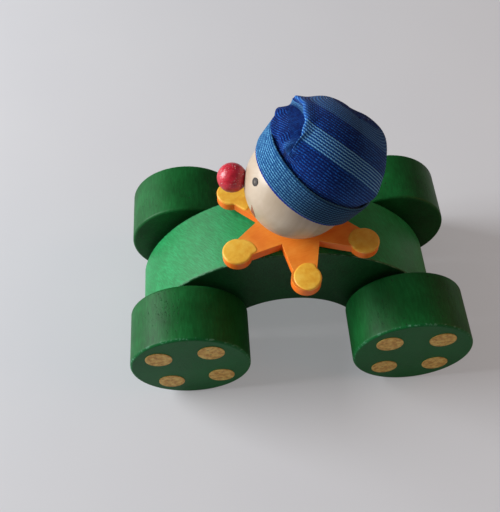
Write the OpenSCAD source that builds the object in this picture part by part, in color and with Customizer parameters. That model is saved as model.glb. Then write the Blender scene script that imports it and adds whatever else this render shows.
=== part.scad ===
// Wooden push-along car with a round-headed driver in a knitted cap.
// Front towards -X, left side towards -Y, ground at z = 0, origin between the axles.

/* [Wheels] */
// Wheel diameter
wheel_d = 42; // [36:0.5:50]
// Wheel thickness
wheel_w = 21; // [14:0.5:26]
// How far each axle stands in from the outer radius of the arch
axle_inset = 17.8; // [14:0.1:22]
// Rounding of the wheel edges
wheel_edge = 1; // [0.5:0.1:2]
// Depth of the blind hole for the axle end
hub_depth = 12.5; // [8:0.5:13]

/* [Axles] */
// Axle dowel diameter
axle_d = 8; // [5:0.5:10]
// Radial running clearance of the axle in the body
axle_play = 0.08; // [0.03:0.01:0.1]
// Glue gap round every glued dowel
glue_gap = 0.05; // [0.02:0.01:0.1]
// Side play between the body and each wheel
wheel_gap = 2.5; // [1:0.1:4]

/* [Body] */
// Width of the body block
body_w = 27; // [20:0.5:34]
// Outer radius of the arch
arch_r = 56.8; // [55:0.1:60]
// Thickness of the arch measured along its radius
arch_t = 29.4; // [26:0.1:32]
// Height of the arch centre above the ground
arch_z = -3.8; // [-6:0.1:0]
// How far the arch sits ahead of the middle between the axles
arch_lead = 1.5; // [0:0.1:3]
// Height of the flat foot faces above the ground
foot_z = 8; // [5:0.5:11]
// Rounding of the long edges
body_edge = 0.7; // [0.5:0.1:2]
// Depth of the flat planed on the crown for the collar
seat_depth = 0.4; // [0.2:0.1:0.8]

/* [Collar] */
// Thickness of the star collar
collar_t = 3.5; // [2.5:0.1:5]
// Number of points of the star
collar_points = 6; // [5:1:8]
// Distance from the middle to the centre of each round tip
tip_reach = 24.4; // [20:0.1:28]
// Radius of each round tip
tip_r = 4.9; // [4.2:0.1:5.5]
// Half width of an arm at the middle of the star
arm_root = 8.7; // [7:0.1:9.5]
// Half width of an arm where it meets the round tip
arm_neck = 3.9; // [3:0.1:4.1]
// Small turn of the star from square
collar_turn = 2; // [-30:1:30]
// Radius of the painted area on each tip
tip_paint_r = 5.2; // [4.2:0.1:6]

/* [Head] */
// Diameter of the head ball
head_d = 35; // [30:0.5:40]
// Height taken off the ball where it stands on the collar
head_flat = 0.4; // [0.3:0.05:0.8]
// Diameter of the neck dowel
neck_d = 6; // [4:0.5:8]
// Depth of the neck dowel in the body
neck_in_body = 17; // [10:0.5:22]
// Depth of the neck dowel in the head
neck_in_head = 14; // [8:0.5:16]
// Angle of the face away from straight ahead, towards the right side
face_turn = 8; // [-45:1:45]

/* [Nose] */
// Diameter of the nose bead
nose_d = 9.6; // [7:0.1:12]
// Angle of the nose above the level through the ball
nose_lift = 4; // [-5:1:12]
// Depth of the flat between nose and head, on each
nose_flat = 0.45; // [0.3:0.05:0.7]
// Diameter of the nose peg
peg_d = 3; // [2:0.1:3.2]
// Depth of the nose peg in the head
peg_in_head = 6; // [4:0.5:8]
// Depth of the nose peg in the nose
peg_in_nose = 5; // [3:0.5:5.5]

/* [Face paint] */
// Thickness of the paint
paint_t = 0.2; // [0.1:0.05:0.3]
// Diameter of an eye
eye_d = 2.7; // [2:0.1:4]
// Angle of each eye to the side of the nose
eye_side_angle = 28; // [20:1:35]
// Angle of the eyes above the level through the ball
eye_lift_angle = 30; // [22:1:34]
// Angle from the nose to the inner edge of the grin
grin_in = 35; // [28:1:38]
// Angle from the nose to the outer edge of the grin
grin_out = 43; // [40:1:46]

/* [Wheel spots] */
// Diameter of a painted spot
spot_d = 9.2; // [6:0.1:11]
// Radius of the circle that the spots stand on
spot_pitch = 12.9; // [11:0.1:14]
// Number of spots on a wheel
spot_count = 4; // [3:1:5]
// Angle of the spots on the front left wheel
spot_angle_fl = 54; // [0:1:90]
// Angle of the spots on the rear left wheel
spot_angle_rl = 47; // [0:1:90]
// Angle of the spots on the front right wheel
spot_angle_fr = 20; // [0:1:90]
// Angle of the spots on the rear right wheel
spot_angle_rr = 75; // [0:1:90]

/* [Cap] */
// Lean of the cap backwards from upright
cap_lean = 34.6; // [20:0.1:45]
// Turn of the lean towards the right side
cap_yaw = 9; // [-20:1:20]
// Thickness of the knit
knit_t = 0.8; // [0.6:0.1:1.2]
// Gap between the ball and the cap
cap_gap = 0.35; // [0.3:0.05:0.6]
// Height of the cap's rim above the ball's middle, along its lean
rim_h = 3.7; // [2:0.1:6]
// Height of the turned-up cuff
cuff_h = 9.3; // [6:0.1:12]
// Thickness of the cuff's outer band
cuff_t = 0.8; // [0.6:0.1:1.2]
// Gap between the crown and the cuff round it
cuff_gap = 0.2; // [0.15:0.05:0.4]
// Radius of the crown at its shoulder
crown_r = 18.7; // [18.5:0.1:20]
// Height of the crown's shoulder above the top of the cuff
shoulder_h = 2.5; // [1.5:0.1:4]
// Height of the dome above the shoulder
dome_h = 15.1; // [12:0.1:18]
// How far the roll below the tuck bulges over the cuff
roll_bulge = 2; // [0:0.1:2.5]
// Height of the tuck's ridge above the shoulder, at its highest
ridge_h = 8.6; // [6:0.1:10]
// Height of the ridge above the shoulder where it runs out
ridge_low = 1.8; // [1:0.1:3]
// How far the ridge stands out from the plain dome
ridge_out = 0.4; // [0:0.1:1]
// Depth of the tuck behind its ridge
tuck_depth = 2.3; // [0:0.1:3]
// Drop from the ridge to the bottom of the tuck
tuck_drop = 2.2; // [1.5:0.1:3]
// Angle round the cap where the roll bulges most, 0 over the face
roll_angle = -38; // [-60:1:-20]
// Angle at which the tuck runs out on the far side
tuck_far_angle = -92; // [-110:1:-70]
// Angle at which the tuck runs out on the near side
tuck_near_angle = 25; // [10:1:40]

/* [Hidden] */
$fn = 96;

wood_green = "#1f6b33";
spot_yellow = "#c69a3f";
bare_wood = "#d8bd90";

// Heights up the neck
arch_in_r = arch_r - arch_t;
seat_z = arch_z + arch_r - seat_depth;
collar_top = seat_z + collar_t;
head_r = head_d / 2;
head_z = collar_top + head_r - head_flat;

// Places along and across the car
axle_x = arch_r - axle_inset;
axle_z = wheel_d / 2;
wheel_in = body_w / 2 + wheel_gap;
hub_end_gap = 0.5; // room left at the blind end of each axle
axle_len = 2 * (wheel_in + hub_depth - hub_end_gap);
// How far a cut reaches past the face that it opens
past = 1;

// Nose seat, measured from the middle of the ball
nose_r = nose_d / 2;
nose_seat = head_r - nose_flat;
nose_reach = nose_seat + nose_r - nose_flat;
// Radius of the small flat cut into the head for the nose to stand on
nose_spot_r = 2.6;
// Room left at the blind end of each dowel
dowel_end_gap = 0.5;

// A disc along +Z with rounded edges
module soft_disc(r, h, edge) {
    rotate_extrude() {
        square([r - edge, h]);
        translate([0, edge]) square([r, h - 2 * edge]);
        for (z = [edge, h - edge]) translate([r - edge, z]) circle(edge, $fn = 32);
    }
}

// Stands its child, drawn along +Z from the wheel's inner face, on one side of an axle
module on_wheel(x, side) {
    translate([x, side * wheel_in, axle_z]) rotate([-side * 90, 0, 0]) children();
}

module wheel(x, side) {
    color(wood_green) difference() {
        on_wheel(x, side) soft_disc(wheel_d / 2, wheel_w, wheel_edge);
        on_wheel(x, side) translate([0, 0, -past])
            cylinder(r = axle_d / 2 + glue_gap, h = hub_depth + past);
    }
}

module spots(x, side, turn) {
    color(spot_yellow) on_wheel(x, side) translate([0, 0, wheel_w])
        for (i = [0 : spot_count - 1]) rotate(turn + i * 360 / spot_count)
            translate([spot_pitch, 0, 0]) cylinder(d = spot_d, h = paint_t);
}

module axle(x) {
    color(bare_wood) translate([x, axle_len / 2, axle_z]) rotate([90, 0, 0])
        cylinder(d = axle_d, h = axle_len);
}

// Section of the arch, a block with four rounded corners
module arch_section() {
    translate([arch_in_r, -body_w / 2]) {
        translate([body_edge, 0]) square([arch_t - 2 * body_edge, body_w]);
        translate([0, body_edge]) square([arch_t, body_w - 2 * body_edge]);
        for (x = [body_edge, arch_t - body_edge], y = [body_edge, body_w - body_edge])
            translate([x, y]) circle(body_edge, $fn = 32);
    }
}

module body() {
    big = 2 * arch_r;
    color(wood_green) difference() {
        translate([-arch_lead, 0, arch_z]) rotate([90, 0, 0]) rotate_extrude(angle = 180, $fn = 180)
            arch_section();
        translate([-big, -body_w, foot_z - big]) cube([2 * big, 2 * body_w, big]);
        translate([-big / 2, -body_w, seat_z]) cube([big, 2 * body_w, body_w]);
        for (x = [-axle_x, axle_x]) translate([x, body_w, axle_z]) rotate([90, 0, 0])
            cylinder(r = axle_d / 2 + axle_play, h = 2 * body_w);
        translate([0, 0, seat_z - neck_in_body - dowel_end_gap])
            cylinder(r = neck_d / 2 + glue_gap, h = neck_in_body + dowel_end_gap + past);
    }
}

// An arm's sides taper from the middle of the star and meet its round tip at the neck
neck_x = tip_reach - sqrt(tip_r * tip_r - arm_neck * arm_neck);
arm_taper = atan((arm_root - arm_neck) / neck_x);

// One arm of the star, lying along +X
module star_arm() {
    end = arm_root - tip_reach * tan(arm_taper);
    polygon([[0, -arm_root], [tip_reach, -end], [tip_reach, end], [0, arm_root]]);
    translate([tip_reach, 0]) circle(tip_r);
}

// The points are symmetric about the car's long axis before the small turn
module each_arm() {
    for (i = [0 : collar_points - 1])
        rotate(collar_turn + (i + 0.5) * 360 / collar_points) children();
}

module star_collar() {
    color("#e8863a") translate([0, 0, seat_z]) difference() {
        linear_extrude(collar_t) each_arm() star_arm();
        translate([0, 0, -past]) cylinder(r = neck_d / 2 + glue_gap, h = collar_t + 2 * past);
    }
}

module collar_tips() {
    color("#e8b53c") translate([0, 0, collar_top]) linear_extrude(paint_t)
        each_arm() intersection() {
            star_arm();
            translate([tip_reach, 0]) circle(tip_paint_r);
        }
}

module neck_dowel() {
    color(bare_wood) translate([0, 0, seat_z - neck_in_body])
        cylinder(d = neck_d, h = neck_in_body + collar_t + neck_in_head);
}

// Stands its child, drawn along +Z from the middle of the ball, out through the face
module on_face(side, lift) {
    translate([0, 0, head_z]) rotate([0, -90 + lift, -face_turn - side]) children();
}

module head() {
    color("#d6c6b2") difference() {
        translate([0, 0, head_z]) sphere(head_r, $fn = 128);
        translate([-head_r, -head_r, collar_top - head_d]) cube([head_d, head_d, head_d]);
        translate([0, 0, collar_top - past])
            cylinder(r = neck_d / 2 + glue_gap, h = neck_in_head + dowel_end_gap + past);
        on_face(0, nose_lift) translate([0, 0, nose_seat]) cylinder(r = nose_spot_r, h = past);
        on_face(0, nose_lift) translate([0, 0, nose_seat - peg_in_head - dowel_end_gap])
            cylinder(r = peg_d / 2 + glue_gap, h = peg_in_head + dowel_end_gap + past);
    }
}

module nose() {
    color("#b5172f") difference() {
        on_face(0, nose_lift) translate([0, 0, nose_reach]) sphere(nose_r);
        on_face(0, nose_lift) translate([-nose_r, -nose_r, nose_seat - nose_d])
            cube([nose_d, nose_d, nose_d]);
        on_face(0, nose_lift) translate([0, 0, nose_seat - past])
            cylinder(r = peg_d / 2 + glue_gap, h = peg_in_nose + dowel_end_gap + past);
    }
}

module nose_peg() {
    color(bare_wood) on_face(0, nose_lift) translate([0, 0, nose_seat - peg_in_head])
        cylinder(d = peg_d, h = peg_in_head + peg_in_nose);
}

// A skin of paint on the ball
module paint_skin() {
    lift_off = 0.02;
    translate([0, 0, head_z]) difference() {
        sphere(head_r + paint_t, $fn = 128);
        sphere(head_r + lift_off, $fn = 128);
    }
}

module eyes() {
    color("#2b2622") intersection() {
        paint_skin();
        for (side = [-eye_side_angle, eye_side_angle]) on_face(side, eye_lift_angle)
            cylinder(d = eye_d, h = head_d);
    }
}

// A broad grin round the lower side of the nose, between two cones
module mouth() {
    reach = head_d;
    color("#c8502a") intersection() {
        paint_skin();
        on_face(0, nose_lift) difference() {
            cylinder(r1 = 0, r2 = reach * tan(grin_out), h = reach);
            cylinder(r1 = 0, r2 = reach * tan(grin_in), h = reach);
            translate([0, -reach, -past]) cube([reach, 2 * reach, reach + 2 * past]);
        }
    }
}

// Layers of the cap at its rim, worked out from the ball
crown_bottom = rim_h + knit_t + cuff_gap;
ball_at_rim = sqrt(head_r * head_r - rim_h * rim_h);
crown_in = ball_at_rim + cap_gap;
crown_out = crown_in + knit_t;
cuff_top = rim_h + cuff_h;

// The cap's own frame: +Z up through the crown, -X over the face
module on_cap() {
    translate([0, 0, head_z]) rotate([0, cap_lean, cap_yaw]) children();
}

// Heights and radii of the crown
shoulder_z = cuff_top + shoulder_h;
function dome_r(h, inset = 0) = (crown_r - inset)
    * sqrt(max(0, 1 - pow((max(h, shoulder_z) - shoulder_z) / (dome_h - inset), 2)));
function on_dome(k, steps, inset) = let (a = 88 * k / steps)
    [(crown_r - inset) * cos(a), shoulder_z + (dome_h - inset) * sin(a)];

// Smooth rise from 0 at a to 1 at b
function ease(x, a, b) = let (t = min(1, max(0, (x - a) / (b - a)))) t * t * (3 - 2 * t);

// The tuck across the front of the crown: phi is the angle round the cap, 0 over the face.
// It rises slowly from the far side and ends sooner on the near side.
function tuck_share(phi) = ease(phi, tuck_far_angle, tuck_far_angle + 42)
    * (1 - ease(phi, tuck_near_angle - 20, tuck_near_angle + 2));
function ridge_z(phi) = shoulder_z + ridge_low + (ridge_h - ridge_low)
    * ease(phi, roll_angle - 37, roll_angle + 16) * (1 - ease(phi, tuck_near_angle - 29, tuck_near_angle));
function roll_r(phi) = crown_r + roll_bulge * exp(-pow((phi - roll_angle) / 9, 2));
// The hollow behind the roll opens where the roll bulges most, and closes as the ridge sinks
function hollow(phi) = tuck_depth * ease(phi, roll_angle - 13, roll_angle + 5)
    * (1 - ease(phi, tuck_near_angle - 25, tuck_near_angle - 3));

// Sections of the crown from its rim to its pole, [radius, height], plain and tucked
lip = 0.5;
roll_top = 1.5;
outer_wall = [[crown_out, crown_bottom], [crown_r, cuff_top + cuff_gap]];
function plain_section() = concat(outer_wall, [for (k = [0 : 12]) on_dome(k, 12, 0)]);
function tucked_section(phi) = let (hr = ridge_z(phi), rr = dome_r(hr) + ridge_out, hv = hr - tuck_drop,
        rv = rr - hollow(phi), roll = roll_r(phi), shelf = [roll - lip, shoulder_z + roll_top])
    concat(outer_wall, [[roll, shoulder_z], shelf, (shelf + [rv, hv]) / 2, [rv, hv],
        [rv + lip, hv + tuck_drop / 2], [rr, hr - lip], [rr - lip / 2, hr + lip]],
        [for (k = [1 : 6]) let (h = hr + (shoulder_z + 0.998 * dome_h - hr) * (1 - pow(1 - k / 6, 1.7)))
            [dome_r(h), h]]);

// The inside is smooth, and keeps clear of the tuck's bottom
inner_wall = [[crown_in, crown_bottom], [crown_r - knit_t, cuff_top], [crown_r - knit_t, shoulder_z - lip]];
function plain_inside() = concat(inner_wall, [for (k = [1 : 7]) on_dome(k, 7, knit_t)]);
function tucked_inside(phi) = let (out = tucked_section(phi), low = out[4], deep = out[5], ridge = out[7])
    concat(inner_wall, [low - [knit_t, knit_t], deep - [knit_t, 0], [deep[0] - knit_t, ridge[1]]],
        [for (k = [4 : 7]) on_dome(k, 7, knit_t)]);

// A share of the way from one section to another. Each point keeps to the dome, and its distance
// from the dome is what is shared out, so that a half-made tuck doesn't cut into the dome.
function off_dome(p, inset) = p[0] - dome_r(p[1], inset);
function mixed(a, b, share, inset) = [for (k = [0 : len(a) - 1])
    let (h = a[k][1] * (1 - share) + b[k][1] * share)
    [dome_r(h, inset) + off_dome(a[k], inset) * (1 - share) + off_dome(b[k], inset) * share, h]];
function turned(section, phi) = [for (p = section) [-p[0] * cos(phi), -p[0] * sin(phi), p[1]]];

module cap_crown() {
    sides = 48;
    angles = [for (j = [0 : sides - 1]) -180 + j * 360 / sides];
    skins = [for (phi = angles) concat(
        turned(mixed(plain_section(), tucked_section(phi), tuck_share(phi), 0), phi),
        turned(mixed(plain_inside(), tucked_inside(phi), tuck_share(phi), knit_t), phi))];
    outs = len(plain_section());
    column = len(skins[0]);
    points = [for (skin = skins, p = skin) p];
    // Four corners between two neighbouring columns, wound to face outwards, as two triangles
    bands = concat([for (k = [0 : outs - 2]) [k, k + 1]],
        [for (k = [outs : column - 2]) [k + 1, k]], [[outs, 0]]);
    walls = [for (j = [0 : sides - 1], band = bands) let (a = j * column, b = (j + 1) % sides * column)
        each [[a + band[0], a + band[1], b + band[1]], [a + band[0], b + band[1], b + band[0]]]];
    top = [for (j = [0 : sides - 1]) (sides - 1 - j) * column + outs - 1];
    top_in = [for (j = [0 : sides - 1]) j * column + column - 1];
    color("#1f3f9a") on_cap() polyhedron(points, concat(walls, [top, top_in]), 4);
}

// The turned-up hem: a fold under the crown's rim, then a band outside it
module cap_cuff() {
    soft = 0.4;
    low_in = crown_out + cuff_gap;
    high_in = crown_r + cuff_gap;
    color("#4e8fc4") on_cap() rotate_extrude($fn = 120) polygon([
        [crown_in, rim_h + knit_t], [crown_in, rim_h + soft], [crown_in + soft, rim_h],
        [low_in + cuff_t - soft, rim_h], [low_in + cuff_t, rim_h + soft],
        [high_in + cuff_t, cuff_top - soft], [high_in + cuff_t / 2, cuff_top],
        [high_in, cuff_top - soft], [low_in, rim_h + knit_t]]);
}

body();
axle(-axle_x);  // front_axle
axle(axle_x);  // rear_axle
wheel(-axle_x, -1);  // front_left_wheel
wheel(-axle_x, 1);  // front_right_wheel
wheel(axle_x, -1);  // rear_left_wheel
wheel(axle_x, 1);  // rear_right_wheel
spots(-axle_x, -1, spot_angle_fl);  // front_left_spots
spots(-axle_x, 1, spot_angle_fr);  // front_right_spots
spots(axle_x, -1, spot_angle_rl);  // rear_left_spots
spots(axle_x, 1, spot_angle_rr);  // rear_right_spots
star_collar();
collar_tips();
neck_dowel();
head();
nose();
nose_peg();
eyes();
mouth();
cap_crown();
cap_cuff();
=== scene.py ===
"""Wooden push-along car with a round-headed driver in a knitted cap: its finishes, its knitted
cap, a pale table and window light. Metres, +Z up, the front towards -X, the left towards -Y."""
import math

import bmesh
import bpy
from mathutils import Matrix, Quaternion, Vector


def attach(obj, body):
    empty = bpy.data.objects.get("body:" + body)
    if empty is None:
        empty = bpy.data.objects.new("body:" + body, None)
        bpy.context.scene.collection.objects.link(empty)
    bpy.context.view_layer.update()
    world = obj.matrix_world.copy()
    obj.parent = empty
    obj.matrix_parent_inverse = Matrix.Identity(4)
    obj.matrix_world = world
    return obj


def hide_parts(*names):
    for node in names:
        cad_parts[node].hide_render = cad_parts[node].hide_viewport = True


MM = 0.001
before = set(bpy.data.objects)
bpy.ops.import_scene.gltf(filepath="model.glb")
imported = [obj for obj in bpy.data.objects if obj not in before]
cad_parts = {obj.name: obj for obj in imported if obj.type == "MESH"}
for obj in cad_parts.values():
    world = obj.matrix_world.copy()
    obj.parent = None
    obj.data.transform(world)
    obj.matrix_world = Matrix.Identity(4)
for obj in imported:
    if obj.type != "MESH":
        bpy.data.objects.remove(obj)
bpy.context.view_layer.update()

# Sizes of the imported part, in millimetres and degrees, which the patterns and films follow
BALL_R, BALL_Z = 17.5, 73.2
FACE_TURN, NOSE_LIFT = 8, 4
EYE_SIDE, EYE_LIFT = 28, 30
WHEEL_R, WHEEL_OUTER_Y = 21, 37
AXLE_X, AXLE_Z = 39, 21
ARCH_R, ARCH_X, ARCH_Z = 56.8, -1.5, -3.8
BODY_W = 27
COLLAR_TOP = 56.1
# A tip of the collar: how far out its round end has its middle, its radius, and the angle round
# that middle where the arm's straight sides begin
TIP_REACH, TIP_R, TIP_NECK = 24.4, 4.9, 127
FIRST_TIP, TIPS_APART = 32, 60
# Half an arm's width if it ran on to the collar's middle, and how much of it each millimetre loses
ARM_ROOT, ARM_TAPER = 8.7, 0.224
# Points closer than this are one point
SAME_POINT = 0.002


# Shader nodes

def colour(code):
    """Linear RGBA of an sRGB hex colour."""
    channels = [int(code[i:i + 2], 16) / 255 for i in (1, 3, 5)]
    return [c / 12.92 if c <= 0.04045 else ((c + 0.055) / 1.055) ** 2.4 for c in channels] + [1]


def add(tree, kind, settings=None):
    """Adds a shader node. A setting is an option of the node or an input, by name or number; an
    input takes a value, or a socket to link."""
    made = tree.nodes.new("ShaderNode" + kind)
    for name, value in (settings or {}).items():
        if isinstance(value, bpy.types.NodeSocket):
            tree.links.new(value, made.inputs[name])
        elif isinstance(name, str) and hasattr(made, name):
            setattr(made, name, value)
        else:
            made.inputs[name].default_value = value
    return made


def calc(tree, operation, first, second=0):
    """One Math node; each side is a socket or a number."""
    return add(tree, "Math", {"operation": operation, 0: first, 1: second}).outputs[0]


def times(tree, first, second):
    """A product."""
    return calc(tree, "MULTIPLY", first, second)


def mixed(tree, first, second, share=0.5):
    """Two values added, the first by its share and the second by the rest."""
    return calc(tree, "ADD", times(tree, first, share), times(tree, second, 1 - share))


def distance(tree, first, second):
    """The distance made up by two steps at right angles."""
    squares = calc(tree, "ADD", times(tree, first, first), times(tree, second, second))
    return calc(tree, "SQRT", squares)


def rise(tree, source, low, high):
    """0 below low, 1 above high, smooth between."""
    return add(tree, "MapRange", {"interpolation_type": "SMOOTHSTEP", "Value": source,
                                  "From Min": low, "From Max": high}).outputs["Result"]


def axes_of(tree, source):
    """The three parts of a vector."""
    return add(tree, "SeparateXYZ", {"Vector": source}).outputs


def ramp(tree, source, stops):
    """Colours along a 0 to 1 value; stops are pairs of place and hex colour."""
    made = add(tree, "ValToRGB", {"Fac": source})
    while len(made.color_ramp.elements) < len(stops):
        made.color_ramp.elements.new(0.5)
    for element, (place, code) in zip(made.color_ramp.elements, stops):
        element.position, element.color = place, colour(code)
    return made.outputs["Color"]


def blend(tree, share, first, second):
    """Two colours mixed; share is a socket, a colour is a socket or a hex code."""
    first, second = [colour(c) if isinstance(c, str) else c for c in (first, second)]
    return add(tree, "Mix", {"data_type": "RGBA", 0: share, 6: first, 7: second}).outputs[2]


def grain(tree, place, scale_mm, stretch=(1, 1, 1), turn=(0, 0, 0), detail=4, rough=0.5):
    """Noise with features about scale_mm across, drawn out by stretch along the turned axes."""
    turned = add(tree, "Mapping", {"vector_type": "TEXTURE", "Vector": place,
                                   "Rotation": [math.radians(a) for a in turn],
                                   "Scale": [scale_mm * MM * s for s in stretch]})
    noise = add(tree, "TexNoise", {"Vector": turned.outputs["Vector"], "Scale": 1.0,
                                   "Detail": detail, "Roughness": rough})
    return noise.outputs["Fac"]


def start(name):
    """An empty material, its tree, its shader and the object's own coordinates."""
    made = bpy.data.materials.new(name)
    made.use_nodes = True
    tree = made.node_tree
    tree.nodes.clear()
    shader = add(tree, "BsdfPrincipled")
    add(tree, "OutputMaterial", {"Surface": shader.outputs[0]})
    return made, tree, shader, add(tree, "TexCoord").outputs["Object"]


def surface(tree, shader, base, height=None, depth_mm=0.1, **plain):
    """Links the colour and the bump, and sets plain values on the shader's own sockets."""
    tree.links.new(base, shader.inputs["Base Color"])
    for name, value in plain.items():
        shader.inputs[name.replace("_", " ")].default_value = value
    if height is not None:
        bump = add(tree, "Bump", {"Height": height, "Strength": 1.0, "Distance": depth_mm * MM})
        tree.links.new(bump.outputs[0], shader.inputs["Normal"])


# Finishes

# How far the saw's lines slant across the body's curved top, in degrees
SAW_SLANT = -42


def green_body():
    """Green water stain on beech sawn to an arch: the saw's fine lines run slanting across the
    curved top, with dark flecks between them. The arrises are pale in patches, partly wear and
    partly a painted highlight. The sides are painted a deeper green than the top: painted shade."""
    made, tree, shader, place = start("stained_beech_body")
    x, y, z = axes_of(tree, place)
    side = calc(tree, "ABSOLUTE", y)
    # The arch laid flat: the way along its curve, the way across, and the distance from its axis
    along_x = calc(tree, "SUBTRACT", x, ARCH_X * MM)
    up = calc(tree, "SUBTRACT", z, ARCH_Z * MM)
    from_axis = distance(tree, along_x, up)
    curve = times(tree, calc(tree, "ARCTAN2", up, along_x), ARCH_R * MM)
    flat = add(tree, "CombineXYZ", {0: curve, 1: y, 2: from_axis}).outputs[0]
    lines = grain(tree, flat, 0.3, (1, 9, 4), (0, 0, SAW_SLANT), 3, 0.6)
    flecks = rise(tree, grain(tree, flat, 0.45, (1, 3, 2), (0, 0, SAW_SLANT), 2), 0.64, 0.72)
    tone = mixed(tree, lines, grain(tree, place, 14, detail=2), 0.7)
    lit_top = ramp(tree, tone, [(0.36, "#0e7038"), (0.5, "#128545"), (0.64, "#1d9958")])
    lit_top = blend(tree, times(tree, flecks, 0.5), lit_top, "#0b4a22")
    # The top's lighter green is painted light, and the sides' deeper green is painted shade
    shaded_flank = ramp(tree, tone, [(0.38, "#0d431c"), (0.5, "#115026"), (0.64, "#185f30")])
    # The sides lie in the two planes half the body's width out
    half = BODY_W / 2
    base = blend(tree, rise(tree, side, (half - 0.8) * MM, (half - 0.2) * MM), lit_top, shaded_flank)
    arris = times(tree, rise(tree, side, (half - 0.4) * MM, (half - 0.25) * MM),
                  rise(tree, from_axis, (ARCH_R - 0.35) * MM, (ARCH_R - 0.15) * MM))
    # Pale patches along the arris: partly wear, partly a painted highlight
    wear_and_highlight = times(tree, arris, rise(tree, grain(tree, place, 2.2, detail=3), 0.42, 0.62))
    base = blend(tree, times(tree, wear_and_highlight, 0.5), base, "#8ccfa6")
    height = calc(tree, "SUBTRACT", lines, times(tree, flecks, 0.3))
    surface(tree, shader, base, height, 0.07, Roughness=0.45, Specular_IOR_Level=0.32)
    return made


def green_wheel():
    """The same green stain on wheels cut across the grain: short pits, the faces painted a bluer
    green as painted shade, and the paint rubbed pale in short chips along the outer edge."""
    made, tree, shader, place = start("stained_beech_wheel")
    fine = grain(tree, place, 0.7, (1, 5, 1), rough=0.6)
    pits = times(tree, rise(tree, grain(tree, place, 0.5, (1, 2.2, 1), detail=2), 0.64, 0.72),
                 rise(tree, grain(tree, place, 9, detail=1), 0.45, 0.6))
    tone = mixed(tree, fine, grain(tree, place, 11, detail=2))
    base = ramp(tree, tone, [(0.35, "#0d4a1d"), (0.52, "#125b27"), (0.68, "#196b32")])
    base = blend(tree, pits, base, "#0c3818")
    x, y, z = axes_of(tree, place)
    from_axle = distance(tree, calc(tree, "SUBTRACT", calc(tree, "ABSOLUTE", x), AXLE_X * MM),
                         calc(tree, "SUBTRACT", z, AXLE_Z * MM))
    rim = rise(tree, from_axle, (WHEEL_R - 0.75) * MM, (WHEEL_R - 0.1) * MM)
    face = rise(tree, calc(tree, "ABSOLUTE", y),
                (WHEEL_OUTER_Y - 1.1) * MM, (WHEEL_OUTER_Y - 0.3) * MM)
    # The outer faces are painted a greener, bluer tone: painted shade
    base = blend(tree, times(tree, face, 0.5), base, "#0c7038")
    chips = rise(tree, grain(tree, place, 1.1, detail=3), 0.5, 0.66)
    wear_and_highlight = times(tree, times(tree, rim, face), chips)
    base = blend(tree, times(tree, wear_and_highlight, 0.55), base, "#7fb89a")
    height = calc(tree, "SUBTRACT", times(tree, fine, 0.4), pits)
    surface(tree, shader, base, height, 0.12, Roughness=0.46, Specular_IOR_Level=0.17)
    return made


def spot_paint():
    """Thin ochre spots printed over the green, which shows through in fine dark flecks."""
    made, tree, shader, place = start("printed_ochre")
    mottle = grain(tree, place, 1.6, rough=0.6)
    flecks = rise(tree, grain(tree, place, 0.5, (2.5, 1, 1), (0, 25, 0), 2), 0.62, 0.72)
    base = ramp(tree, mottle, [(0.38, "#cc933c"), (0.5, "#e4b456"), (0.62, "#f0cc70")])
    base = blend(tree, times(tree, flecks, 0.6), base, "#7a6828")
    surface(tree, shader, base, flecks, 0.05, Roughness=0.5, Specular_IOR_Level=0.4)
    return made


def orange_paint():
    """Orange enamel brushed on the collar, a little deeper where it pooled."""
    made, tree, shader, place = start("brushed_orange_enamel")
    brush = grain(tree, place, 0.5, (5, 1, 1), (0, 0, 20), 2)
    tone = mixed(tree, grain(tree, place, 5, detail=3), brush, 0.7)
    base = ramp(tree, tone, [(0.35, "#f08226"), (0.5, "#f68f2e"), (0.65, "#fa9c3a")])
    # Its sides are painted a brighter, redder orange: painted light bounced onto them
    depth = calc(tree, "SUBTRACT", COLLAR_TOP * MM, axes_of(tree, place)[2])
    base = blend(tree, rise(tree, depth, 0.3 * MM, 0.7 * MM), base, "#fb7c20")
    surface(tree, shader, base, tone, 0.06, Roughness=0.42, Specular_IOR_Level=0.45)
    return made


def yellow_paint():
    """Yellow enamel dabbed on the collar's tips by hand."""
    made, tree, shader, place = start("dabbed_yellow_enamel")
    cloud = grain(tree, place, 2.5, rough=0.6)
    base = ramp(tree, cloud, [(0.36, "#f2b236"), (0.5, "#f8c040"), (0.66, "#fccc50")])
    surface(tree, shader, base, cloud, 0.12, Roughness=0.42, Specular_IOR_Level=0.45)
    return made


def head_lacquer():
    """A pale maple ball under clear satin lacquer: faint growth rings and small warm blotches."""
    made, tree, shader, place = start("lacquered_maple_ball")
    rings = grain(tree, place, 6, (0.35, 5, 5), (0, 24, 10), 2)
    tone = mixed(tree, rings, grain(tree, place, 7, detail=3))
    base = ramp(tree, tone, [(0.34, "#b6a389"), (0.5, "#c0ad95"), (0.66, "#cab9a2")])
    surface(tree, shader, base, rings, 0.03, Roughness=0.38, Specular_IOR_Level=0.45,
            Coat_Weight=0.2, Coat_Roughness=0.2)
    return made


def nose_lacquer():
    """Glossy red lacquer over a rough bead: it caught in ridges, which glint. Its pale specks
    are partly chips and partly painted glints.
    """
    made, tree, shader, place = start("glossy_red_lacquer")
    ridges = grain(tree, place, 1.1, rough=0.6)
    specks_and_glints = times(tree, rise(tree, grain(tree, place, 0.45, detail=2), 0.6, 0.67),
                   rise(tree, grain(tree, place, 2.6, detail=1), 0.46, 0.56))
    base = ramp(tree, ridges, [(0.3, "#b4142a"), (0.5, "#cc2034"), (0.7, "#de2e44")])
    # Pale specks: partly chips, partly painted glints
    base = blend(tree, times(tree, specks_and_glints, 0.85), base, "#f0c4c4")
    height = calc(tree, "ADD", ridges, times(tree, specks_and_glints, 0.6))
    surface(tree, shader, base, height, 0.12, Roughness=0.36, Specular_IOR_Level=0.45,
            Coat_Weight=0.3, Coat_Roughness=0.16)
    return made


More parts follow.
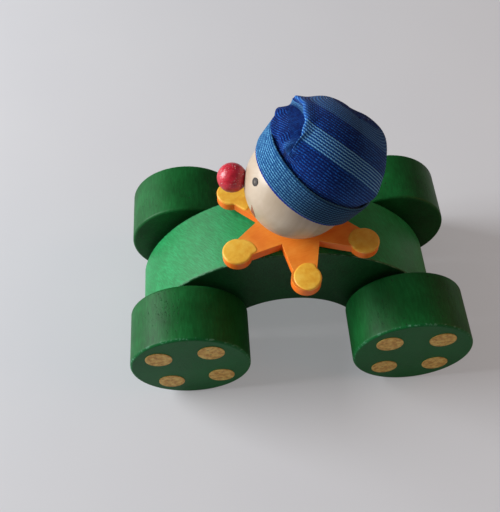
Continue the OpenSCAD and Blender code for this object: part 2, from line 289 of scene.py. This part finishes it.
def on_ball(side, lift):
    """The point of the ball's surface at an angle to the side of the nose and above the level."""
    turn, up = math.radians(-FACE_TURN - side), math.radians(lift)
    out = Vector((-math.cos(up) * math.cos(turn), -math.cos(up) * math.sin(turn), math.sin(up)))
    return (Vector((0, 0, BALL_Z)) + out * BALL_R) * MM


def eye_paint():
    """A stamped brown-black dot whose middle took less paint."""
    made, tree, shader, place = start("stamped_eye_paint")
    eyes = [add(tree, "VectorMath", {"operation": "DISTANCE", 0: place, 1: on_ball(s, EYE_LIFT)})
            for s in (-EYE_SIDE, EYE_SIDE)]
    off = calc(tree, "MINIMUM", *[eye.outputs["Value"] for eye in eyes])
    blotch = grain(tree, place, 0.8, detail=3)
    off = calc(tree, "ADD", off, times(tree, calc(tree, "SUBTRACT", blotch, 0.5), 0.6 * MM))
    base = ramp(tree, rise(tree, off, 0.2 * MM, 0.9 * MM), [(0.0, "#6f675c"), (0.7, "#2c2620")])
    surface(tree, shader, base, blotch, 0.05, Roughness=0.5, Specular_IOR_Level=0.4)
    return made


def mouth_paint():
    """A brushed grin in a brownish red."""
    made, tree, shader, place = start("brushed_grin_paint")
    blotch = grain(tree, place, 1.5, detail=3)
    base = ramp(tree, blotch, [(0.35, "#8f4a30"), (0.55, "#a2583a"), (0.7, "#b06a4a")])
    surface(tree, shader, base, blotch, 0.05, Roughness=0.5, Specular_IOR_Level=0.4)
    return made


def bare_beech():
    """Unpainted beech dowel: fine straight grain."""
    made, tree, shader, place = start("bare_beech_dowel")
    fibres = grain(tree, place, 0.5, (1, 12, 1), detail=3)
    base = ramp(tree, fibres, [(0.35, "#c9a877"), (0.5, "#d8bd90"), (0.65, "#e2cba3")])
    surface(tree, shader, base, fibres, 0.06, Roughness=0.6, Specular_IOR_Level=0.35)
    return made


# The knit, in the UV map "knit": one unit of U is one wale, V is millimetres across the courses.
# The height of a course, and half the width over which a stripe comes in
COURSE, STRIPE_EDGE = 0.85, 0.2
# How far the legs of a stitch slant towards the sides of its wale, in courses, and how much lower
# they lie there; and how high loose hairs stand. A loop is 1 high.
LEG_SLANT, LEG_SINKS, FUZZ = 0.16, 0.4, 0.25


def knit(name, yarn, stripes, painted_lighting_pair=None):
    """Plain knit of thin yarn, whose V-shaped stitches stand in rows: the deeper colour is painted
    between the rows as painted shade, and the lighter on top of the loops as painted light. yarn
    is that pair of colours, and stripes are ranges of V in pairs of their own, knitted tighter in
    crisp thin rows. Where the mesh's float attribute is 1, the last pair shows instead: a painted
    highlight on the crown, painted shade on the cuff. The loops are drawn a little coarser than
    real ones, so that they show."""
    made, tree, shader, place = start(name)
    wale, across, _ = axes_of(tree, add(tree, "UVMap", {"uv_map": "knit"}).outputs["UV"])
    pull = times(tree, calc(tree, "SUBTRACT", grain(tree, place, 5, detail=2), 0.5), 0.5)
    # 0 along the middle of a wale, 1 along its two sides
    leg = calc(tree, "SUBTRACT", times(tree, calc(tree, "FRACT", wale), 2), 1)
    leg = calc(tree, "ABSOLUTE", leg)
    row = calc(tree, "ADD", calc(tree, "DIVIDE", across, COURSE), times(tree, leg, LEG_SLANT))
    row = times(tree, calc(tree, "ADD", row, pull), 2 * math.pi)
    strand = calc(tree, "ADD", times(tree, calc(tree, "COSINE", row), 0.5), 0.5)
    between = calc(tree, "SUBTRACT", 1, times(tree, rise(tree, leg, 0.4, 1.0), LEG_SINKS))
    hairs = calc(tree, "SUBTRACT", grain(tree, place, 0.35, detail=3), 0.5)
    loops = calc(tree, "ADD", times(tree, strand, between), times(tree, hairs, FUZZ))
    # Deeper between the loops as painted shade, lighter on their tops as painted light
    share = rise(tree, loops, 0.25, 1.0)
    # The plain rows are worn soft in patches
    soft = add(tree, "MapRange", {"Value": grain(tree, place, 1.1, detail=2), "From Min": 0.4,
                                  "From Max": 0.6, "To Min": 0.3, "To Max": 1.0})
    base = blend(tree, times(tree, share, soft.outputs["Result"]), *yarn)
    crisp = rise(tree, calc(tree, "ADD", strand, times(tree, hairs, 2 * FUZZ)), 0.45, 1.05)
    for low, high, pair in stripes:
        above = rise(tree, across, high - STRIPE_EDGE, high + STRIPE_EDGE)
        inside = times(tree, rise(tree, across, low - STRIPE_EDGE, low + STRIPE_EDGE),
                       calc(tree, "SUBTRACT", 1, above))
        base = blend(tree, inside, base, blend(tree, crisp, *pair))
    # The painted highlight on the crown and the painted shade on the cuff
    if painted_lighting_pair:
        painted_lighting = add(tree, "Attribute", {"attribute_name": "painted_lighting"}).outputs["Fac"]
        base = blend(tree, painted_lighting, base, blend(tree, share, *painted_lighting_pair))
    surface(tree, shader, base, loops, 0.12, Roughness=0.9, Specular_IOR_Level=0.05,
            Sheen_Weight=0.06, Sheen_Roughness=0.5)
    return made


finishes = {
    "body": green_body(), "wheel": green_wheel(), "spots": spot_paint(), "collar": orange_paint(),
    "tips": yellow_paint(), "head": head_lacquer(), "nose": nose_lacquer(), "eyes": eye_paint(),
    "mouth": mouth_paint(), "wood": bare_beech(),
    # The crown's last pair is its painted highlight, and the cuff's last pair its painted shade
    "crown": knit("royal_blue_knit", ("#0a1d5a", "#1c5fb8"),
                  [(15.0, 21.3, ("#20467e", "#4474a6")), (28.6, 34.4, ("#123f80", "#6fb0da"))],
                  ("#2461b8", "#62a4e2")),
    "cuff": knit("teal_rib_knit", ("#10447a", "#6ab2da"), [(-3.0, 0.5, ("#0f2a80", "#2850b8"))],
                 ("#0a294c", "#3a6a8c")),
    "edge": knit("cuff_edge_yarn", ("#0f2a80", "#2d58c4"), []),
}
finish_of = {
    "body": "body", "star_collar": "collar", "collar_tips": "tips", "head": "head", "nose": "nose",
    "eyes": "eyes", "mouth": "mouth", "neck_dowel": "wood", "nose_peg": "wood",
    "front_axle": "wood", "rear_axle": "wood",
}
for corner in ("front_left", "front_right", "rear_left", "rear_right"):
    finish_of[corner + "_wheel"] = "wheel"
    finish_of[corner + "_spots"] = "spots"
for name, used in finish_of.items():
    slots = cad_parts[name].data.materials
    slots.clear()
    slots.append(finishes[used])


# The cap, in millimetres and in its own frame: +Z up through its crown, -X over the face. Its
# section runs from the rim to the pole, as distance from the axis and height. Angles go round the
# cap: 0 over the face, 90 over the car's left side.
CAP_TURN, CAP_LEAN = 9, 34.6
CAP = (Matrix.Translation((0, 0, BALL_Z)) @ Matrix.Rotation(math.radians(CAP_TURN), 4, "Z")
       @ Matrix.Rotation(math.radians(CAP_LEAN), 4, "Y"))
RIM = [(18.3, 6.0), (18.45, 9.5)]
SHOULDER_R, SHOULDER_H, DOME_H = 18.7, 15.5, 15.1
POLE_H = SHOULDER_H + DOME_H
# The tuck: where its roll bulges most, as angle and height, and the angles of its two ends
ROLL_ANGLE, ROLL_H = -38, 15.4
TUCK_FAR, TUCK_NEAR = -92, 25
# Soft dents and swells of the plain dome: angle, height, their widths, and the push outwards
SWELLS = ((130, 16, 18, 2.6, 1.0), (-178, 27.3, 30, 2.5, 1.2), (-105, 28, 25, 3.0, -1.3))


def ease(x, low, high):
    """0 below low, 1 above high, smooth between."""
    t = min(1.0, max(0.0, (x - low) / (high - low)))
    return t * t * (3 - 2 * t)


def bell(x, middle, width):
    """1 at the middle, and nearly 0 at twice the width from it."""
    return math.exp(-((x - middle) / width) ** 2)


def around(phi, middle):
    """How far an angle is from the middle, the short way round."""
    return abs((phi - middle + 180) % 360 - 180)


def along(section, place):
    """The point at a place on a smooth curve through the section's points, 0 at the first."""
    k = min(int(place), len(section) - 2)
    f = place - k
    near = [section[min(max(i, 0), len(section) - 1)] for i in (k - 1, k, k + 1, k + 2)]
    return [0.5 * (2 * b + (c - a) * f + (2 * a - 5 * b + 4 * c - d) * f * f
                   + (3 * b - a - 3 * c + d) * f ** 3) for a, b, c, d in zip(*near)]


def along_loop(section, part):
    """The same on a closed section; part runs from 0 to 1 round it."""
    return along(section + section[:1], part * len(section))


def dome_r(height):
    """The plain dome's radius at a height."""
    return SHOULDER_R * math.sqrt(max(0.0, 1 - (max(0.0, height - SHOULDER_H) / DOME_H) ** 2))


def plain_section():
    """A wall that widens under the cuff, then a dome."""
    angles = [math.radians(a) for a in (0, 8, 16, 24, 31, 38, 45, 52, 61, 70, 79, 86, 90)]
    dome = [(SHOULDER_R * math.cos(a), SHOULDER_H + DOME_H * math.sin(a)) for a in angles]
    return RIM + [(18.6, 12.5)] + dome


PLAIN = plain_section()
LAST = len(PLAIN) - 1


def stands_at(phi):
    """How much the tuck's ridge stands out."""
    return ease(phi, TUCK_FAR + 4, TUCK_FAR + 34) * (1 - ease(phi, TUCK_NEAR - 9, TUCK_NEAR + 1))


def hooks_at(phi):
    """How much the roll's top edge stands out at the near end, where the ridge hooks into it."""
    return ease(phi, TUCK_NEAR - 19, TUCK_NEAR - 11) * stands_at(phi)


def tucked_section(phi):
    """The front, where the crown is tucked: a roll bulges over the cuff, and the dome's lower edge
    hangs over a hollow behind the roll as a thick ridge. The ridge rises slowly from the far side,
    and on the near side it drops fast and closes the hollow."""
    drop = (0.32 * ease(phi, TUCK_NEAR - 28, TUCK_NEAR - 9)
            + 0.68 * ease(phi, TUCK_NEAR - 12, TUCK_NEAR - 4))
    climb = 7.2 * ease(phi, ROLL_ANGLE - 37, ROLL_ANGLE + 16)
    stands, hooks = stands_at(phi), hooks_at(phi)
    ridge_h = SHOULDER_H + 1.8 + climb * (1 - drop)
    ridge_r = dome_r(ridge_h) + 0.8 * stands + 0.9 * bell(phi, ROLL_ANGLE - 12, 14)
    roll_r = (SHOULDER_R + 0.2 * stands + 1.9 * bell(phi, ROLL_ANGLE, 9)
              + 0.5 * bell(phi, TUCK_NEAR - 11, 14))
    lap_r = 18.1 + 2.1 * ease(phi, ROLL_ANGLE - 6, ROLL_ANGLE + 10) * (1 - ease(phi, -14, -2))
    depth = (2.6 * ease(phi, ROLL_ANGLE - 14, ROLL_ANGLE + 4)
             * (1 - ease(phi, TUCK_NEAR - 11, TUCK_NEAR - 5)))
    hollow_r, top_r = ridge_r - depth, roll_r - 0.7 * (stands - hooks) + 0.4 * hooks
    # From the roll's widest height, the heights keep their order however low the ridge comes
    way = ridge_h - ROLL_H
    section = RIM + [
        (18.7, 12.4), (max(roll_r - 0.8, lap_r), 13.6), (roll_r, ROLL_H),
        (top_r, ROLL_H + 0.18 * way), ((top_r + hollow_r) / 2, ROLL_H + 0.49 * way),
        (hollow_r, ROLL_H + 0.75 * way), (hollow_r + 0.3 * depth, ROLL_H + 0.85 * way),
        (ridge_r - 0.1 * stands, ROLL_H + 0.93 * way), (ridge_r - 0.3 * stands, ridge_h + 0.6)]
    heights = [ridge_h + (POLE_H - ridge_h) * (1 - (1 - s) ** 1.7) for s in (0.2, 0.42, 0.64, 0.85)]
    return section + [(dome_r(h), h) for h in heights] + [(0.0, POLE_H)]


def tuck_share(phi):
    """How far an angle's section has changed from the plain one to the tucked one."""
    return ease(phi, TUCK_FAR - 28, TUCK_FAR + 4) * (1 - ease(phi, TUCK_NEAR - 2, TUCK_NEAR + 16))


def crown_point(phi, part):
    """A point of the crown's outside; part runs from 0 at the rim to 1 at the pole. Where the tuck
    is half made, each point keeps to the dome and has its share of the distance from the dome."""
    r0, h0 = r, h = along(PLAIN, part * LAST)
    share = tuck_share(phi)
    if share:
        r1, h1 = along(tucked_section(phi), part * LAST)
        h = h0 + (h1 - h0) * share
        r = dome_r(h) + (r0 - dome_r(h0)) * (1 - share) + (r1 - dome_r(h1)) * share
    out = Vector((r0 / SHOULDER_R ** 2, max(0.0, h0 - SHOULDER_H) / DOME_H ** 2)).normalized()
    for angle, height, wide, tall, push in SWELLS:
        push *= bell(around(phi, angle), 0, wide) * bell(h, height, tall)
        r, h = r + push * out.x, h + push * out.y
    return max(r, 0.0), h


# The crown's grid, its wales in one turn, and its wall
ROWS, COLUMNS = 90, 300
CROWN_WALES = 170
CAP_WALL = 0.5
# Places along the section: the roll's top edge, the ridge, and the two between which the cloth is
# gathered inside the tuck, with how much longer that makes it
ROLL_PLACE, RIDGE_PLACE = 5.2, 9.4
GATHER_LOW, GATHER_HIGH, GATHER = 5.5, 8.8, 1.8
# How far the knitted tube's closed end has slumped, and towards which angle
KNIT_TOP, KNIT_LEAN = 16, math.radians(-119)


def gather_at(phi):
    """How much of its gathering the cloth has at an angle."""
    return ease(phi, ROLL_ANGLE - 38, ROLL_ANGLE) * (1 - ease(phi, TUCK_NEAR - 12, TUCK_NEAR + 9))


def cloth_run(phi):
    """Distance from the pole along the cloth, at each row of the grid from the rim to the pole."""
    points = [crown_point(phi, i / ROWS) for i in range(ROWS + 1)]
    run = [0.0]
    for i in range(ROWS, 0, -1):
        gathered = gather_at(phi) * (GATHER_LOW < (i - 0.5) / ROWS * LAST < GATHER_HIGH)
        run.append(run[-1] + math.dist(points[i], points[i - 1]) * (1 + GATHER * gathered))
    return run[::-1]


runs = [cloth_run(-180 + 360 * i / COLUMNS) for i in range(COLUMNS + 1)]


def crown_knit(phi, part):
    """Wale and course on the crown. The courses stand as tilted rings round the slumped end, and
    closer on that side."""
    far = 1 - ease(around(phi, -122), 22, 95)
    run = runs[round((phi + 180) / 360 * COLUMNS)][round(part * ROWS)] * (1 + 0.9 * far)
    x = run * math.cos(math.radians(phi)) - KNIT_TOP * math.cos(KNIT_LEAN)
    y = run * math.sin(math.radians(phi)) - KNIT_TOP * math.sin(KNIT_LEAN)
    return math.atan2(y, x) / (2 * math.pi) * CROWN_WALES, math.hypot(x, y)


def crown_painted_highlight(phi, part):
    """Where a painted highlight pales the yarn: the ridge of the tuck and the roll's top where the
    ridge hooks into it, and, less so, painted light on the back of the crown on the near side."""
    ridge, roll = [bell(part * LAST, place, 0.8) for place in (RIDGE_PLACE, ROLL_PLACE)]
    edge = stands_at(phi) * ridge + hooks_at(phi) * roll
    return max(0.6 * min(1.0, edge), 0.2 * (1 - ease(around(phi, 125), 20, 65)))


# The cuff's section: up inside the fold, round the foot, up outside and over the top edge
CUFF_FOOT, CUFF_TOP = 3.7, 13.0
CUFF = [(18.95, 11.8), (18.75, 8.5), (18.5, 5.6), (17.7, 6.6), (17.62, 4.9), (17.95, 3.9),
        (18.5, CUFF_FOOT), (19.05, 4.0), (19.3, 4.9), (19.5, 7.2), (19.68, 9.6), (19.86, 12.0),
        (19.82, 12.75), (19.4, CUFF_TOP), (19.02, 12.7)]
CUFF_WALES = 110


def cuff_point(phi, part):
    """A point of the cuff, which is a little wavy and stands off more at its top."""
    r, h = along_loop(CUFF, part)
    up = (h - CUFF_FOOT) / (CUFF_TOP - CUFF_FOOT)
    turn = math.radians(phi)
    r += 0.12 * up * math.sin(3 * turn + 1) + 0.06 * math.sin(7 * turn)
    h += up * (0.22 * math.sin(2 * turn + 0.6) + 0.12 * math.sin(5 * turn))
    return r, h


def cuff_knit(phi, part):
    """Wale and course on the cuff; V is 0 at the foot and grows up the outside."""
    return phi / 360 * CUFF_WALES, along_loop(CUFF, part)[1] - CUFF_FOOT


def cuff_painted_shade(phi, part):
    """The cuff is painted deeper on the near side: painted shade."""
    return 1 - ease(around(phi, 115), 35, 115)


# The blue edge yarn along the cuff's foot: its middle, its half sizes and the way round it
EDGE_R, EDGE_H = 18.45, CUFF_FOOT - 0.05
EDGE_WIDE, EDGE_TALL, EDGE_ROUND = 0.5, 0.42, 2.8
EDGE = [(EDGE_R + EDGE_WIDE * math.cos(a), EDGE_H + EDGE_TALL * math.sin(a))
        for a in (math.radians(degrees) for degrees in range(-180, 180, 45))]


def edge_point(phi, part):
    """A point of the edge yarn, which swells into a bead at each wale of the cuff."""
    r, h = along_loop(EDGE, part)
    swell = 0.78 + 0.22 * abs(math.sin(math.radians(phi) * CUFF_WALES / 2))
    return EDGE_R + (r - EDGE_R) * swell, EDGE_H + (h - EDGE_H) * swell


def edge_knit(phi, part):
    """Wale and course on the edge yarn."""
    return phi / 360 * CUFF_WALES, part * EDGE_ROUND


# Pieces that show in place of the part's own solids

def piece(name, mesh, finish_name):
    """A finished piece from a bmesh in metres; it rides on the car's body."""
    for face in mesh.faces:
        face.smooth = True
    data = bpy.data.meshes.new(name)
    mesh.to_mesh(data)
    mesh.free()
    made = bpy.data.objects.new(name, data)
    bpy.context.scene.collection.objects.link(made)
    data.materials.append(finishes[finish_name])
    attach(made, "car_body")
    return made


def on_cap(name, rows, point, coordinates, wales, finish_name, painted_lighting_at=None):
    """A knitted piece: a grid whose X goes round the cap and whose Y follows the section, closed
    where it meets itself. coordinates gives the wale and course, wales is their number in one
    turn, and the last argument gives at each point the share of painted lighting: a highlight on
    the crown, shade on the cuff."""
    mesh = bmesh.new()
    uv = mesh.loops.layers.uv.new("knit")
    painted_lighting = mesh.verts.layers.float.new("painted_lighting")
    bmesh.ops.create_grid(mesh, x_segments=COLUMNS, y_segments=rows, size=1)
    for face in mesh.faces:
        first = None
        for loop in face.loops:
            wale, across = coordinates(180 * loop.vert.co.x, (loop.vert.co.y + 1) / 2)
            first = wale if first is None else first
            # Across the seam of the numbering, a face's corners count on from its first one
            loop[uv].uv = (wale + wales * round((first - wale) / wales), across)
    for vert in mesh.verts:
        angle, part = 180 * vert.co.x, (vert.co.y + 1) / 2
        vert[painted_lighting] = painted_lighting_at(angle, part) if painted_lighting_at else 0.0
        r, h = point(angle, part)
        phi = math.radians(angle)
        vert.co = (-r * math.cos(phi), -r * math.sin(phi), h)
    bmesh.ops.remove_doubles(mesh, verts=mesh.verts, dist=SAME_POINT)
    bmesh.ops.transform(mesh, verts=mesh.verts, matrix=Matrix.Scale(MM, 4) @ CAP)
    return piece(name, mesh, finish_name)


def cap():
    """The knitted cap: the crown, the cuff turned up round it, and the yarn of the cuff's edge."""
    crown = on_cap("knitted_crown", ROWS, crown_point, crown_knit, CROWN_WALES,
                   "crown", crown_painted_highlight)
    wall = crown.modifiers.new("knit_thickness", "SOLIDIFY")
    wall.thickness, wall.offset = CAP_WALL * MM, -1
    cuff = on_cap("turned_up_cuff", 60, cuff_point, cuff_knit, CUFF_WALES,
                  "cuff", cuff_painted_shade)
    edge = on_cap("cuff_edge_yarn", 12, edge_point, edge_knit, CUFF_WALES, "edge")
    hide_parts("cap_crown")
    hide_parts("cap_cuff")


# The yellow on each tip: the slant of its inner edge in degrees, how far it reaches up the arm,
# and how far it stops short of the edge on one side
DABS = ((8, 0.5, 0), (-14, 0.2, 0), (18, 3.4, 0), (20, 0.6, 0), (10, 0.1, 0.75), (0, 0.2, 0))
# A dab's section over the rounded edge, as height from the collar's top and the way in, and how
# far it stands off the collar's side
DAB_SECTION = ((-0.5, 0), (-0.28, 0), (-0.02, 0.1), (0.14, 0.32), (0.2, 0.7))
DAB_STANDS = 0.06


def dab_outline(angle, inset, slant, reach, short):
    """X and Y of a dab's outline, with X along the arm, at an angle round the middle of the tip.
    Past the neck the outline turns across the arm, between its straight sides."""
    inner = ease(abs(math.degrees(angle)), TIP_NECK, 150)
    slope = 4 * math.sin(angle) * math.tan(math.radians(slant))
    r = TIP_R + DAB_STANDS - inset + inner * (reach + 0.35 + slope)
    r += short * min(0, math.sin(angle))
    x, y = TIP_REACH + r * math.cos(angle), r * math.sin(angle)
    if inner:
        half = ARM_ROOT - ARM_TAPER * x + DAB_STANDS - inset
        y = max(-half, min(half, y))
    return x, y


def dab_point(angle, step, dab):
    """A point of a dab, from the angle of its foot. Each step of the section sets out at the angle
    where the one before it came to lie."""
    for _, inset in DAB_SECTION[:step + 1]:
        x, y = dab_outline(angle, inset, *dab)
        angle = math.atan2(y, x - TIP_REACH)
    return Vector((x, y, COLLAR_TOP + DAB_SECTION[step][0]))


def yellow_tips():
    """The yellow on the collar's tips: films that wrap over the rounded edge, dabbed by hand. Each
    is a grid whose X goes round the tip and whose Y follows the section, closed at the top."""
    mesh = bmesh.new()
    steps = len(DAB_SECTION) - 1
    for i, dab in enumerate(DABS):
        turn = Matrix.Rotation(math.radians(FIRST_TIP + TIPS_APART * i), 4, "Z")
        grid = bmesh.ops.create_grid(mesh, x_segments=72, y_segments=steps, size=1)
        for vert in grid["verts"]:
            step = round((vert.co.y + 1) / 2 * steps)
            vert.co = turn @ dab_point(math.pi * vert.co.x, step, dab)
    bmesh.ops.remove_doubles(mesh, verts=mesh.verts, dist=SAME_POINT)
    open_tops = [edge for edge in mesh.edges
                 if edge.is_boundary and edge.verts[0].co.z > COLLAR_TOP]
    bmesh.ops.edgeloop_fill(mesh, edges=open_tops)
    bmesh.ops.recalc_face_normals(mesh, faces=mesh.faces)
    bmesh.ops.transform(mesh, verts=mesh.verts, matrix=Matrix.Scale(MM, 4))
    films = piece("dabbed_yellow_tips", mesh, "tips")
    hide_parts("collar_tips")


# The grin, in degrees: its edges from the nose's axis, how far round that axis it reaches from
# straight below, and between which angles it narrows
GRIN_IN, GRIN_OUT = 35, 43
GRIN_REACH, GRIN_NARROWS = 90, (66, 94)
# How far it stands off the ball, in millimetres
GRIN_STANDS = 0.05


def grin():
    """The painted grin: a film that follows the ball round the nose's axis and tapers to two
    corners beside the nose."""
    mesh = bmesh.new()
    bmesh.ops.create_grid(mesh, x_segments=72, y_segments=8, size=1)
    middle = Vector((0, 0, BALL_Z)) * MM
    nose, above = [(on_ball(0, lift) - middle).normalized() for lift in (NOSE_LIFT, NOSE_LIFT + 90)]
    for vert in mesh.verts:
        turn = GRIN_REACH * vert.co.x
        wide = (GRIN_OUT - GRIN_IN) * (1 - ease(abs(turn), *GRIN_NARROWS))
        away = math.radians(GRIN_IN + wide * (vert.co.y + 1) / 2)
        out = nose * math.cos(away) - above * math.sin(away)
        out = Quaternion(nose, math.radians(turn)) @ out
        vert.co = middle + out * (BALL_R + GRIN_STANDS) * MM
    mesh.normal_update()
    inwards = [f for f in mesh.faces if f.normal.dot(f.calc_center_median() - middle) < 0]
    bmesh.ops.reverse_faces(mesh, faces=inwards)
    film = piece("brushed_grin", mesh, "mouth")
    sunk = film.modifiers.new("sunk_in_ball", "SOLIDIFY")
    sunk.thickness, sunk.offset = 3 * GRIN_STANDS * MM, -1
    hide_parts("mouth")


# How far in from the collar's edges they are sanded, and the least angle between the faces there
SANDED, SHARP = 0.5, 50


def soften_collar():
    """The collar's sawn edges are sanded round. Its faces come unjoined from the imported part."""
    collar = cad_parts["star_collar"]
    weld = collar.modifiers.new("joined_faces", "WELD")
    weld.merge_threshold = SAME_POINT / 2 * MM
    sanded = collar.modifiers.new("sanded_edges", "BEVEL")
    sanded.width, sanded.segments = SANDED * MM, 3
    sanded.limit_method, sanded.angle_limit = "ANGLE", math.radians(SHARP)


# Camera, table and light

def place_camera():
    """The photograph's place and angle."""
    data = bpy.data.cameras.new("camera")
    data.lens, data.sensor_width = 52.256, 36
    data.clip_start, data.clip_end = 0.01, 20
    camera = bpy.data.objects.new("camera", data)
    bpy.context.scene.collection.objects.link(camera)
    camera.location = (-0.023709, -0.147740, 0.258874)
    camera.rotation_mode = "QUATERNION"
    camera.rotation_quaternion = Quaternion((0.957709, 0.285895, -0.005554, -0.032044))
    bpy.context.scene.camera = camera


def area_lamp(name, place, aim, size, watts, tint):
    """A square lamp at a place, turned towards aim."""
    data = bpy.data.lights.new(name, "AREA")
    data.shape, data.size = "SQUARE", size
    data.energy, data.color = watts, colour(tint)[:3]
    lamp = bpy.data.objects.new(name, data)
    bpy.context.scene.collection.objects.link(lamp)
    lamp.location = place
    lamp.rotation_mode = "QUATERNION"
    lamp.rotation_quaternion = (Vector(aim) - Vector(place)).to_track_quat("-Z", "Y")


# Half the table's width, in metres
TABLE_HALF = 3


def lay_table():
    """A pale table. The camera sees it partly as an even backdrop, so that the shadow on it stays
    light."""
    mesh = bmesh.new()
    bmesh.ops.create_grid(mesh, x_segments=1, y_segments=1, size=TABLE_HALF)
    data = bpy.data.meshes.new("table")
    mesh.to_mesh(data)
    mesh.free()
    table = bpy.data.objects.new("table", data)
    bpy.context.scene.collection.objects.link(table)
    made, tree, shader, place = start("pale_table")
    base = ramp(tree, grain(tree, place, 60, detail=2), [(0.3, "#d2d4d8"), (0.7, "#d5d7da")])
    surface(tree, shader, base, Roughness=0.75, Specular_IOR_Level=0.2)
    backdrop = add(tree, "Emission", {"Color": colour("#dedfe2"), "Strength": 1.0})
    seen = times(tree, add(tree, "LightPath").outputs["Is Camera Ray"], 0.3)
    mix = add(tree, "MixShader", {0: seen, 1: shader.outputs[0], 2: backdrop.outputs[0]})
    tree.links.new(mix.outputs[0], tree.nodes["Material Output"].inputs["Surface"])
    data.materials.append(made)


def light():
    """A large soft window on the left, a weak warm glow from the right, and an even sky that looks
    brighter to the camera than it shines."""
    world = bpy.data.worlds.new("sky")
    bpy.context.scene.world = world
    world.use_nodes = True
    sky = world.node_tree
    sky.nodes.clear()
    shines = add(sky, "Background", {"Color": colour("#f1efee"), "Strength": 0.15})
    looks = add(sky, "Background", {"Color": colour("#d5d6da"), "Strength": 1.0})
    ray = add(sky, "LightPath").outputs
    seen = calc(sky, "MAXIMUM", ray["Is Camera Ray"], ray["Is Transmission Ray"])
    mix = add(sky, "MixShader", {0: seen, 1: shines.outputs[0], 2: looks.outputs[0]})
    add(sky, "OutputWorld", {"Surface": mix.outputs[0]})
    area_lamp("window", (-0.79, 0.135, 0.405), (0, 0, 0.03), 0.5, 11.2, "#fbfcff")
    area_lamp("warm_wall", (0.62, -0.05, 0.32), (0, 0, 0.06), 0.5, 0.9, "#ffa866")


place_camera()
cap()
yellow_tips()
grin()
soften_collar()
lay_table()
light()
bpy.context.scene.view_settings.view_transform = "Standard"
